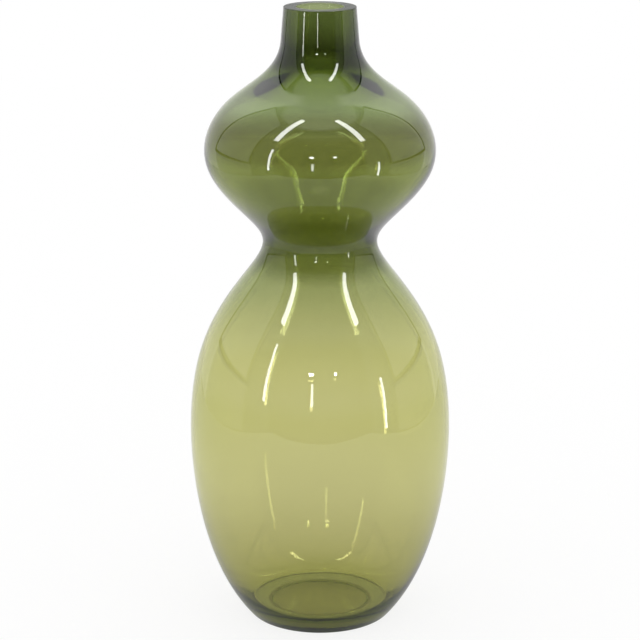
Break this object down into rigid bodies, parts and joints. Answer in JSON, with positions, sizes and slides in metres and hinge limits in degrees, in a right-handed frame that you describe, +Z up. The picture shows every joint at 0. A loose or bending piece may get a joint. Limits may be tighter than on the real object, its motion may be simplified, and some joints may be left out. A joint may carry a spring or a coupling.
{
  "type": "double gourd vase",
  "caption": "Tall double gourd glass vase: a thick olive casing over a green inner layer that fades downwards, with a narrow neck and a dished base.",
  "frame": {"origin": "on the vase's axis, at the bottom of the flat ring that it stands on", "axes": "+Z up along the vase's axis; the vase is the same all round, so +X and +Y have no front or side"},
  "size_m": [0.2106, 0.2106, 0.5],
  "materials": {
    "olive_glass": "fire polished, with the rim's flat and the foot ground",
    "green_glass": "fire polished, deep green in the neck and upper bulb, thinning out below the waist"
  },
  "bodies": {
    "root": {"olive_outer_casing": "olive_glass", "green_inner_layer": "green_glass"}
  },
  "joints": []
}
